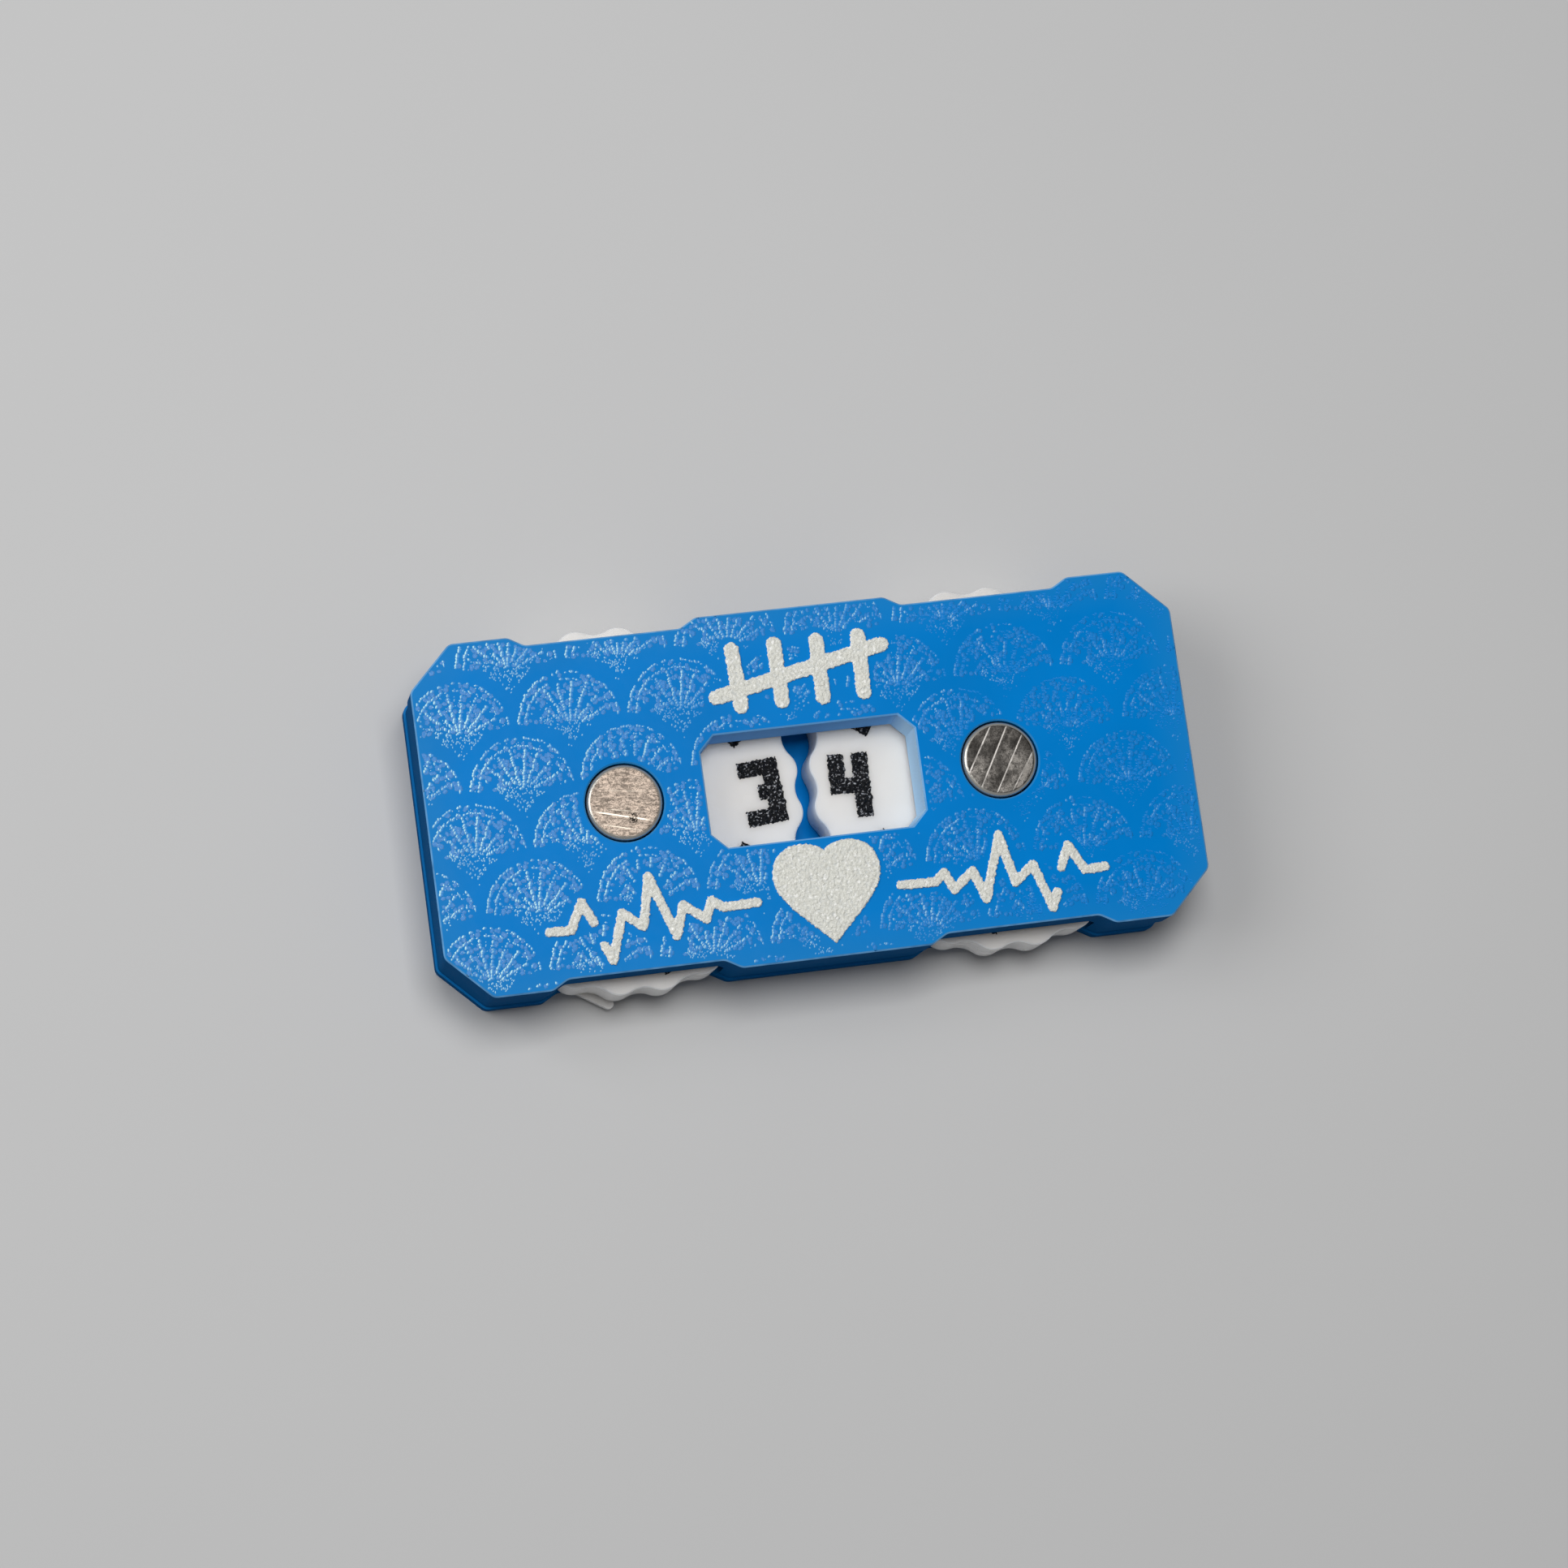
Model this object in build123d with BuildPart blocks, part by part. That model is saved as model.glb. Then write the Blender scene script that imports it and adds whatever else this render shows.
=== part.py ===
from build123d import *
import os
from math import cos, radians, sin

# A life counter: a case of three glued layers, two number wheels between its plates,
# and two stacks of disc magnets on which the wheels turn. All lengths are in millimetres.
# The origin is the middle of the rear face, +X runs along the case, +Z points at the reader.

# Number wheels
wheel_tip_radius = 12.28
wheel_lobe_height = 0.42
wheel_lobe_count = 24
wheel_gap = 0.64
wheel_side_clearance = 0.15
wheel_edge_clearance = 0.2
wheel_bore_clearance = 0.08
wheel_edge_cut = 0.08

# Layers of the case, from the rear
back_plate_thickness = 1.2
spacer_thickness = 3.8
front_plate_thickness = 3.0
spacer_inset = 0.15
plate_edge_cut = 0.1

# Outline of the plates
thinnest_end_wall = 0.37
rim_stands_proud = 1.21
corner_cut = 2.9
corner_round = 0.7
notch_depth = 0.63
notch_floor_half = 5.15
notch_ramp_run = 1.1
notch_round = 0.8

# Window over the two digits
window_length = 14.4
window_height = 7.5
window_corner_cut = 1.0
window_taper_degrees = 2.0
window_to_spacer = 0.6

# Magnets
magnet_diameter = 5.0
magnet_edge_round = 0.3
magnet_edge_cut = 0.2
magnet_hole_clearance = 0.12
magnet_stands_proud = 0.1
front_magnet_length = 3.0
middle_magnet_length = 3.0

# Click springs: a straight finger in a groove of the back plate, its tip beyond the wheel's rim
spring_thickness = 0.7
spring_width = 0.65
spring_length = 6.0
spring_head_diameter = 1.5
spring_tip_past_rim = 0.15
spring_tip_angle = -98.8
spring_lean_degrees = -32.3
spring_top_clearance = 0.1
spring_seat_clearance = 0.1

# Sizes that follow
axle_x = wheel_tip_radius + wheel_gap / 2
wheel_cavity_radius = wheel_tip_radius + wheel_edge_clearance
wheel_thickness = spacer_thickness - 2 * wheel_side_clearance
magnet_radius = magnet_diameter / 2
magnet_hole_radius = magnet_radius + magnet_hole_clearance
spacer_base = back_plate_thickness
front_plate_base = spacer_base + spacer_thickness
case_height = front_plate_base + front_plate_thickness
half_length = axle_x + wheel_cavity_radius + thinnest_end_wall + spacer_inset
notch_floor_y = wheel_tip_radius - rim_stands_proud
half_width = notch_floor_y + notch_depth
groove_base = back_plate_thickness - spring_top_clearance - spring_thickness
spring_tip_reach = wheel_tip_radius + spring_tip_past_rim
notch_mouth_half = notch_floor_half + notch_ramp_run
axle_places = [(-axle_x, 0), (axle_x, 0)]

quarter_outline = [
    (half_length, half_width - corner_cut),
    (half_length - corner_cut, half_width),
    (axle_x + notch_mouth_half, half_width),
    (axle_x + notch_floor_half, notch_floor_y),
    (axle_x - notch_floor_half, notch_floor_y),
    (axle_x - notch_mouth_half, half_width),
]
quarter_rounds = [corner_round] * 2 + [notch_round] * 4


def whole_outline(quarter):
    """The outline's points all round, from its upper right quarter."""
    upper = quarter + [(-x, y) for x, y in reversed(quarter)]
    return upper + [(-x, -y) for x, y in upper]


def whole_rounds(quarter):
    """The corner radii, in the order of the outline's points."""
    return (quarter + quarter[::-1]) * 2


def case_outline():
    """The outline of the plates, as a flat face."""
    with BuildSketch() as outline:
        with BuildLine():
            FilletPolyline(
                *whole_outline(quarter_outline), radius=whole_rounds(quarter_rounds), close=True
            )
        make_face()
    return outline.sketch


def around(radius, angle):
    """A point at a radius and an angle in degrees from a wheel's centre."""
    return radius * cos(radians(angle)), radius * sin(radians(angle))


def wavy_rim():
    """A wheel's face: round lobes and round valleys, one after the other."""
    pitch = 360 / wheel_lobe_count
    valley_radius = wheel_tip_radius - wheel_lobe_height
    middle_radius = wheel_tip_radius - wheel_lobe_height / 2
    with BuildSketch() as rim:
        with BuildLine():
            for lobe in range(wheel_lobe_count):
                tip = (lobe + 0.5) * pitch
                start = around(middle_radius, tip - pitch / 4)
                turn = around(middle_radius, tip + pitch / 4)
                end = around(middle_radius, tip + pitch * 3 / 4)
                ThreePointArc(start, around(wheel_tip_radius, tip), turn)
                ThreePointArc(turn, around(valley_radius, tip + pitch / 2), end)
        make_face()
    return rim.sketch


def click_spring_outline(extra):
    """A click spring for a wheel at the sketch's origin, grown all round by extra."""
    tip_x, tip_y = around(spring_tip_reach, spring_tip_angle)
    half_x, half_y = around(spring_length / 2, spring_lean_degrees)
    with BuildSketch() as spring:
        with Locations((tip_x - half_x, tip_y - half_y)):
            SlotCenterToCenter(spring_length, spring_width, rotation=spring_lean_degrees)
        with Locations((tip_x - 2 * half_x, tip_y - 2 * half_y)):
            Circle(spring_head_diameter / 2)
        if extra > 0:
            offset(amount=extra)
    return spring.sketch


def axle_sketch_plane(side, height):
    """The plane of one side's sketches: side is -1 on the left and 1 on the right, half a turn on."""
    return Plane(origin=(side * axle_x, 0, height), x_dir=(-side, 0, 0), z_dir=(0, 0, 1))


os.makedirs("parts", exist_ok=True)

# Front plate: window and magnet holes, all with the corner taken off their front edges
with BuildPart() as front_plate:
    with BuildSketch(Plane.XY.offset(front_plate_base)):
        add(case_outline())
    extrude(amount=front_plate_thickness)
    with BuildSketch(Plane.XY.offset(case_height)) as window:
        Rectangle(window_length, window_height)
        chamfer(window.vertices(), length=window_corner_cut)
    extrude(amount=-front_plate_thickness, taper=window_taper_degrees, mode=Mode.SUBTRACT)
    with Locations(*[(x, y, case_height) for x, y in axle_places]):
        Hole(radius=magnet_hole_radius)
    chamfer(front_plate.faces().sort_by(Axis.Z)[-1].edges(), length=plate_edge_cut)
front_plate.part.label = "front_plate"
export_step(front_plate.part, "parts/front_plate.step")

# Back plate: the same outline and magnet holes, no window, and a groove for each click spring
with BuildPart() as back_plate:
    with BuildSketch():
        add(case_outline())
    extrude(amount=back_plate_thickness)
    with Locations(*axle_places):
        Hole(radius=magnet_hole_radius)
    for side in (-1, 1):
        with BuildSketch(axle_sketch_plane(side, groove_base)):
            add(click_spring_outline(spring_seat_clearance))
    extrude(amount=back_plate_thickness - groove_base, mode=Mode.SUBTRACT)
    chamfer(back_plate.faces().sort_by(Axis.Z)[0].edges(), length=plate_edge_cut)
back_plate.part.label = "back_plate"
export_step(back_plate.part, "parts/back_plate.step")

# The middle layer: the wheels' cavities cut it into four spacers
with BuildSketch(Plane.XY.offset(spacer_base)) as spacer_layer:
    add(case_outline())
    offset(amount=-spacer_inset, kind=Kind.INTERSECTION)
    with Locations(*axle_places):
        Circle(wheel_cavity_radius, mode=Mode.SUBTRACT)
    Rectangle(axle_x, window_height + 2 * window_to_spacer, mode=Mode.SUBTRACT)

spacer_faces = spacer_layer.sketch.faces()
spacers = {
    "upper_spacer": spacer_faces.sort_by(Axis.Y)[-1],
    "lower_spacer": spacer_faces.sort_by(Axis.Y)[0],
    "left_end_spacer": spacer_faces.sort_by(Axis.X)[0],
    "right_end_spacer": spacer_faces.sort_by(Axis.X)[-1],
}
for name, face in spacers.items():
    with BuildPart() as spacer:
        extrude(face, amount=spacer_thickness)
    spacer.part.label = name
    export_step(spacer.part, f"parts/{name}.step")

# Click springs, each on the floor of its groove under a wheel
for side_name, side in (("left", -1), ("right", 1)):
    with BuildPart() as click_spring:
        with BuildSketch(axle_sketch_plane(side, groove_base)):
            add(click_spring_outline(0))
        extrude(amount=spring_thickness)
    click_spring.part.label = f"{side_name}_click_spring"
    export_step(click_spring.part, f"parts/{side_name}_click_spring.step")

# Number wheels: wavy rim and a bore that runs on the magnets
for side_name, side in (("left", -1), ("right", 1)):
    with BuildPart() as wheel:
        with BuildSketch(axle_sketch_plane(side, spacer_base + wheel_side_clearance)):
            add(wavy_rim())
            Circle(magnet_radius + wheel_bore_clearance, mode=Mode.SUBTRACT)
        extrude(amount=wheel_thickness)
        wheel_front = wheel.faces().sort_by(Axis.Z)[-1]
        chamfer(wheel_front.outer_wire().edges(), length=wheel_edge_cut)
    wheel.part.label = f"{side_name}_wheel"
    export_step(wheel.part, f"parts/{side_name}_wheel.step")

# Magnet stacks: three discs end to end, which stand a little out of the front face
front_magnet_base = case_height + magnet_stands_proud - front_magnet_length
middle_magnet_base = front_magnet_base - middle_magnet_length
magnet_spans = {
    "front": (front_magnet_base, front_magnet_length),
    "middle": (middle_magnet_base, middle_magnet_length),
    "rear": (magnet_stands_proud, middle_magnet_base - magnet_stands_proud),
}
for side_name, side in (("left", -1), ("right", 1)):
    for place, (base, length) in magnet_spans.items():
        with BuildPart() as magnet:
            with BuildSketch(axle_sketch_plane(side, base)):
                Circle(magnet_radius)
            extrude(amount=length)
            rims = magnet.edges().filter_by(GeomType.CIRCLE).sort_by(Axis.Z)
            if place == "front":
                fillet(rims[-1], radius=magnet_edge_round)
                chamfer(magnet.edges().sort_by(Axis.Z)[0], length=magnet_edge_cut)
            else:
                chamfer(rims, length=magnet_edge_cut)
        magnet.part.label = f"{side_name}_{place}_magnet"
        export_step(magnet.part, f"parts/{side_name}_{place}_magnet.step")
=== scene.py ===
import random
from math import atan2, cos, hypot, radians, sin

import bmesh
import bpy
import numpy as np
from bpy.props import FloatProperty, FloatVectorProperty, IntProperty, PointerProperty
from mathutils import Matrix, Vector
from mathutils.geometry import interpolate_bezier, intersect_point_line


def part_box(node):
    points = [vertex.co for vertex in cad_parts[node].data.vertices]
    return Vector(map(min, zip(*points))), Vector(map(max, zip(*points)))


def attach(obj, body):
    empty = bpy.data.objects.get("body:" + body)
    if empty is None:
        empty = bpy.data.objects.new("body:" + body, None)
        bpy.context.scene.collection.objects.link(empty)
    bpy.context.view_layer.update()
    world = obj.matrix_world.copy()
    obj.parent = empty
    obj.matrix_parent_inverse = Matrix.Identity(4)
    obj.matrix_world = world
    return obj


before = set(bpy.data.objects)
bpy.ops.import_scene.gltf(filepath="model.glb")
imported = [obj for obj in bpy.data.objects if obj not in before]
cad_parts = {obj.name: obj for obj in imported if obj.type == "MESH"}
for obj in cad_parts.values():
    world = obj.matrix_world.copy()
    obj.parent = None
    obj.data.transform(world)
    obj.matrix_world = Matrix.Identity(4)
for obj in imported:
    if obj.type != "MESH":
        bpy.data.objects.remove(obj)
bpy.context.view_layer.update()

bl_info = {
    "name": "Life counter finish",
    "version": (1, 0, 0),
    "blender": (4, 5, 0),
    "location": "3D View > Sidebar > Counter",
    "description": "Prints, digits and surface finishes for a case with two number wheels",
    "category": "Object",
}

# Prints are modelled in millimetres at the origin, and brought to metres when they are done
MM = 0.001


def middle_of(node):
    """The middle of a solid's box, in metres."""
    low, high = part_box(node)
    return (low + high) / 2


FACE_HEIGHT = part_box("front_plate")[1].z / MM
HALF_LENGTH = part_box("front_plate")[1].x / MM
HALF_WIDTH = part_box("front_plate")[1].y / MM
WHEEL_FACE_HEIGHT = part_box("left_wheel")[1].z / MM
AXLE_X = middle_of("right_front_magnet").x / MM

# Cuts of the solids that the prints and finishes keep to, in millimetres
CORNER_CUT = 2.9
NOTCH_DEPTH = 0.63
NOTCH_FLOOR_HALF = 5.15
NOTCH_RAMP_RUN = 1.1
WINDOW_HALF_LENGTH = 7.2
WINDOW_HALF_HEIGHT = 3.75
WINDOW_CORNER_CUT = 1.0
MAGNET_HOLE_RADIUS = 2.62


# Sizes and colours that a user would change


def length(name, description, default_mm):
    """A property for a length, stored in metres."""
    return FloatProperty(
        name=name, description=description, default=default_mm * MM,
        min=0.0, precision=5, subtype="DISTANCE", unit="LENGTH",
    )


def angle(name, description, default_degrees):
    """A property for an angle, stored in radians."""
    return FloatProperty(
        name=name, description=description, default=radians(default_degrees), subtype="ANGLE", unit="ROTATION"
    )


def colour(name, description, default):
    """A property for a colour, linear red, green and blue."""
    return FloatVectorProperty(
        name=name, description=description, default=default, size=3, min=0.0, max=1.0, subtype="COLOR"
    )


def count(name, description, default, low, high):
    """A property for a whole number."""
    return IntProperty(name=name, description=description, default=default, min=low, max=high)


def level(name, description, default, unit="NONE"):
    """A property for a plain number that isn't below zero."""
    return FloatProperty(name=name, description=description, default=default, min=0.0, unit=unit)


class CounterColours(bpy.types.PropertyGroup):
    """Colours of the sheets, the magnets and the inks."""

    case_face: colour("Case face", "Blue of the plates' satin faces", (0.0, 0.215, 0.645))
    # Painted glow: the face is paler near the outline, for the light that comes through the sheet's edge
    # there
    case_rim_glow: colour("Case rim", "Blue near the outline, which lets light through", (0.012, 0.225, 0.60))
    case_wall: colour("Case walls", "Blue of the polished cut walls", (0.0, 0.085, 0.26))
    # Painted glow: the magnet holes' walls are paler than the outer walls, for the blue ring of light round
    # each magnet
    hole_wall_glow: colour("Hole walls", "Blue of the magnet holes' walls", (0.0, 0.20, 0.52))
    # Painted highlight on the slanting corners of the case
    corner_highlight: colour("Case corners", "Paler blue of the rubbed corners", (0.15, 0.40, 0.74))
    # Painted light: the window's walls are paler than the outer walls for the light they catch, the right
    # wall palest
    window_wall_lit: colour("Window walls", "Blue of the window's cut walls", (0.20, 0.47, 0.86))
    window_glow: colour("Window's right wall", "Paler blue of the lit wall", (0.53, 0.78, 1.0))
    wheel_face: colour("Wheel", "White of the number wheels", (0.85, 0.81, 0.76))
    # The magnets are one nickel, painted as a lit copy on the left and a shaded copy on the right
    nickel_lit: colour("Left magnets", "Nickel with a warm shine", (0.38, 0.31, 0.255))
    nickel_shaded: colour("Right magnets", "Nickel with a darker shine", (0.097, 0.090, 0.082))
    white_ink: colour("White ink", "Off-white of the raised print", (0.755, 0.755, 0.69))
    # Painted sheen: the clear ink's paler blue shows on the left end and fades to the case's blue; its glints
    # are painted highlights
    clear_ink: colour("Clear ink", "The case's blue seen through the raised print", (0.06, 0.29, 0.68))
    clear_glint: colour("Clear ink glints", "Pale glints on the clear print", (0.58, 0.94, 1.0))
    black_ink: colour("Black ink", "Black of the digits", (0.006, 0.006, 0.007))


class DigitSizes(bpy.types.PropertyGroup):
    """Sizes of the block digits on the wheels."""

    column: length("Column width", "Width of a digit's outer columns", 1.12)
    middle_column: length("Middle column width", "Width of the gap between the columns", 0.50)
    bar: length("Bar height", "Height of a digit's bars", 1.05)
    gap: length("Gap height", "Height of the gaps between the bars", 0.60)
    ring_radius: length("Ring radius", "From the axle to a digit's middle", 9.64)
    raised: length("Raised by", "Height of the ink above the wheel", 0.05)
    grain: length("Grain", "Size of the ink's grain", 0.14)
    roughness: length("Grain depth", "Depth of the ink's grain", 0.12)
    raggedness: length("Ragged edge", "How far the ink's edge strays", 0.24)
    left_shown: count("Left digit", "Digit in the window's left half", 3, 0, 9)
    right_shown: count("Right digit", "Digit in the window's right half", 4, 0, 9)
    left_place: angle("Left place", "How far the left digit stands past the middle line", 0.5)
    left_lean: angle("Left lean", "How far the left wheel's digits lean", 4.0)
    right_place: angle("Right place", "How far the right digit stands past the middle line", 0.9)
    right_lean: angle("Right lean", "How far the right wheel's digits lean", -2.4)


class PrintSizes(bpy.types.PropertyGroup):
    """Sizes of the white print on the face."""

    raised: length("Raised by", "Height of the ink above the face", 0.13)
    grain: length("Grain", "Size of the ink's grain", 0.16)
    roughness: length("Grain depth", "Depth of the ink's grain", 0.12)
    raggedness: length("Ragged edge", "How far the ink's edge strays", 0.16)
    trace_width: length("Trace width", "Width of the heartbeat lines", 0.61)
    tally_width: length("Tally width", "Width of the tally strokes", 1.0)


class FanSizes(bpy.types.PropertyGroup):
    """Sizes of the clear fan pattern on the face."""

    pitch: length("Pitch", "From one fan to the next in its row", 7.3)
    row_height: length("Row height", "From one row of fans to the next", 4.05)
    outer_arc: length("Outer arc", "Radius of the fan's outer line", 3.30)
    inner_arc: length("Inner arc", "Radius of the fan's inner line", 2.80)
    foot_arc: length("Foot arc", "Radius that the next row keeps clear", 4.1)
    raised: length("Raised by", "Height of the clear ink above the face", 0.025)
    ribs: count("Ribs", "Ribs in one fan", 8, 2, 16)


class StageSetup(bpy.types.PropertyGroup):
    """Floor, lights and camera."""

    floor: colour("Floor", "Colour of the plain floor", (0.62, 0.62, 0.62))
    surroundings: level("Surroundings", "Level of the light all round", 0.12)
    key_power: level("Key light", "Power of the key light", 0.58, "POWER")
    fill_power: level("Fill light", "Power of the fill light", 0.6, "POWER")
    lens: level("Lens", "Focal length for a 36 mm wide sensor, in millimetres", 106.52)
    camera_place: FloatVectorProperty(
        name="Camera place", description="Where the camera stands",
        default=(-0.05312, -0.04235, 0.30519), precision=5, subtype="TRANSLATION", unit="LENGTH",
    )
    camera_turn: FloatVectorProperty(
        name="Camera turn", description="How the camera is turned",
        default=(radians(9.263), radians(-8.571), radians(-7.939)), subtype="EULER", unit="ROTATION",
    )


# Finishes


# Where most of a noise's values lie
NOISE_RANGE = (0.3, 0.7)
# The way to the light, across and up the face
TO_LIGHT = (-0.94, 0.34)
# Upright part of the normal on a face, a wall and a slanting corner, and how far off that a corner ends
FACE_UPRIGHT, WALL_UPRIGHT = 0.97, 0.60
CORNER_UPRIGHT, CORNER_OFF, CORNER_ON = 0.72, 0.24, 0.06


def shaded(base, factor, lift=0.0):
    """A colour made darker or paler."""
    return tuple(min(1.0, factor * c + lift) for c in base)


class Finish:
    """One material, built node by node on the place in the object's own space."""

    def __init__(self, name):
        self.material = bpy.data.materials.new(name)
        self.material.use_nodes = True
        self.tree = self.material.node_tree
        self.shader = self.tree.nodes["Principled BSDF"]
        self.place = self.node("ShaderNodeTexCoord").outputs["Object"]
        geometry = self.node("ShaderNodeNewGeometry")
        self.normal = geometry.outputs["Normal"]
        self.flat_normal = geometry.outputs["True Normal"]

    def node(self, kind, **settings):
        """A new node with its settings."""
        made = self.tree.nodes.new(kind)
        for setting, value in settings.items():
            setattr(made, setting, value)
        return made

    def feed(self, socket, value):
        """Joins a socket to another, or gives it a plain value."""
        if isinstance(value, bpy.types.NodeSocket):
            self.tree.links.new(value, socket)
        elif socket.type == "RGBA":
            socket.default_value = (*value, 1.0)
        else:
            socket.default_value = value

    def surface(self, **values):
        """Sets the shader's sockets, with spaces for underscores in their names."""
        for name, value in values.items():
            self.feed(self.shader.inputs[name.replace("_", " ")], value)

    def math(self, operation, first, second=0.0):
        """A sum on one or two values."""
        made = self.node("ShaderNodeMath", operation=operation)
        self.feed(made.inputs[0], first)
        self.feed(made.inputs[1], second)
        return made.outputs[0]

    def times(self, first, *others):
        """The product of some values."""
        for other in others:
            first = self.math("MULTIPLY", first, other)
        return first

    def minus(self, first, second):
        """One value less another."""
        return self.math("SUBTRACT", first, second)

    def size_of(self, value):
        """A value without its sign."""
        return self.math("ABSOLUTE", value)

    def away(self, x, y):
        """How far a place is from the middle."""
        return self.math("SQRT", self.math("ADD", self.times(x, x), self.times(y, y)))

    def span(self, value, low, high, to_low=0.0, to_high=1.0):
        """Brings a value's range to another one, and stops it at the ends."""
        made = self.node("ShaderNodeMapRange")
        for socket, number in zip(made.inputs, (value, low, high, to_low, to_high)):
            self.feed(socket, number)
        return made.outputs[0]

    def mix(self, share, first, second):
        """A blend of two colours."""
        made = self.node("ShaderNodeMix", data_type="RGBA")
        self.feed(made.inputs[0], share)
        self.feed(made.inputs[6], first)
        self.feed(made.inputs[7], second)
        return made.outputs[2]

    def mix_values(self, share, first, second):
        """A blend of two plain values."""
        made = self.node("ShaderNodeMix", data_type="FLOAT")
        self.feed(made.inputs[0], share)
        self.feed(made.inputs[2], first)
        self.feed(made.inputs[3], second)
        return made.outputs[0]

    def split(self, vector):
        """The three parts of a vector."""
        made = self.node("ShaderNodeSeparateXYZ")
        self.feed(made.inputs[0], vector)
        return made.outputs

    def turned(self, centre=(0.0, 0.0, 0.0), turn=0.0, stretch=(1.0, 1.0, 1.0)):
        """The place, centred, turned about the upright axis and stretched."""
        moved = self.node("ShaderNodeMapping", vector_type="POINT")
        shift = Matrix.Rotation(-turn, 3, "Z") @ Vector(centre)
        self.feed(moved.inputs["Vector"], self.place)
        self.feed(moved.inputs["Location"], tuple(-c for c in shift))
        self.feed(moved.inputs["Rotation"], (0.0, 0.0, -turn))
        if stretch == (1.0, 1.0, 1.0):
            return moved.outputs[0]
        scaled = self.node("ShaderNodeVectorMath", operation="MULTIPLY")
        self.feed(scaled.inputs[0], moved.outputs[0])
        self.feed(scaled.inputs[1], stretch)
        return scaled.outputs[0]

    def noise(self, scale, place=None, detail=2.0, distortion=0.0):
        """Soft noise, with scale in features to the metre."""
        made = self.node("ShaderNodeTexNoise")
        self.feed(made.inputs["Vector"], place or self.place)
        self.feed(made.inputs["Scale"], scale)
        self.feed(made.inputs["Detail"], detail)
        self.feed(made.inputs["Distortion"], distortion)
        return made.outputs[0]

    def bump(self, height, depth, under=None):
        """Relief of a depth in metres, on top of another one."""
        made = self.node("ShaderNodeBump")
        self.feed(made.inputs["Height"], height)
        self.feed(made.inputs["Distance"], depth)
        if under is not None:
            self.feed(made.inputs["Normal"], under)
        return made.outputs[0]

    def clouded(self, tone, base, darkest, palest):
        """A colour that turns softly darker and paler with a noise."""
        return self.mix(self.span(tone, *NOISE_RANGE), shaded(base, darkest), shaded(base, palest))

    def lean(self):
        """How far a surface leans to the upper left, where the light comes from: 0 when it lies flat."""
        x, y, _ = self.split(self.normal)
        return self.math("ADD", self.times(x, TO_LIGHT[0]), self.times(y, TO_LIGHT[1]))

    def upright(self):
        """The upright part of the normal, without its sign."""
        return self.size_of(self.split(self.normal)[2])

    def cut_wall(self):
        """1 on upright walls and 0 on flat faces."""
        return self.span(self.upright(), FACE_UPRIGHT, WALL_UPRIGHT)

    def cut_corner(self):
        """1 on slanting corners and 0 on flat faces and walls."""
        off = self.size_of(self.minus(self.upright(), CORNER_UPRIGHT))
        return self.span(off, CORNER_OFF, CORNER_ON)

    def scratch(self, centre, turn, shift, width, reach):
        """1 along a straight scratch on a magnet, fading towards its ends."""
        along, across, _ = self.split(self.turned(centre, turn))
        line = self.span(self.size_of(self.minus(across, shift)), width, width * 0.3)
        ends = self.span(self.size_of(along), reach, reach * 0.6)
        return self.times(line, ends)


def dress(objects, material):
    """Gives objects one material in place of any they have."""
    for thing in objects:
        thing.data.materials.clear()
        thing.data.materials.append(material)


# How far into the face the painted paler glow near the outline reaches, in millimetres
RIM_REACH = 2.8
# How far past its outline a wall still counts as the window's or the hole's
WALL_REACH = 0.3
# How far short of the window's right end its walls begin to turn paler with painted light, and are fully
# paler
GLOW_BEGINS, GLOW_ENDS = 1.4, 0.4


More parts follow.
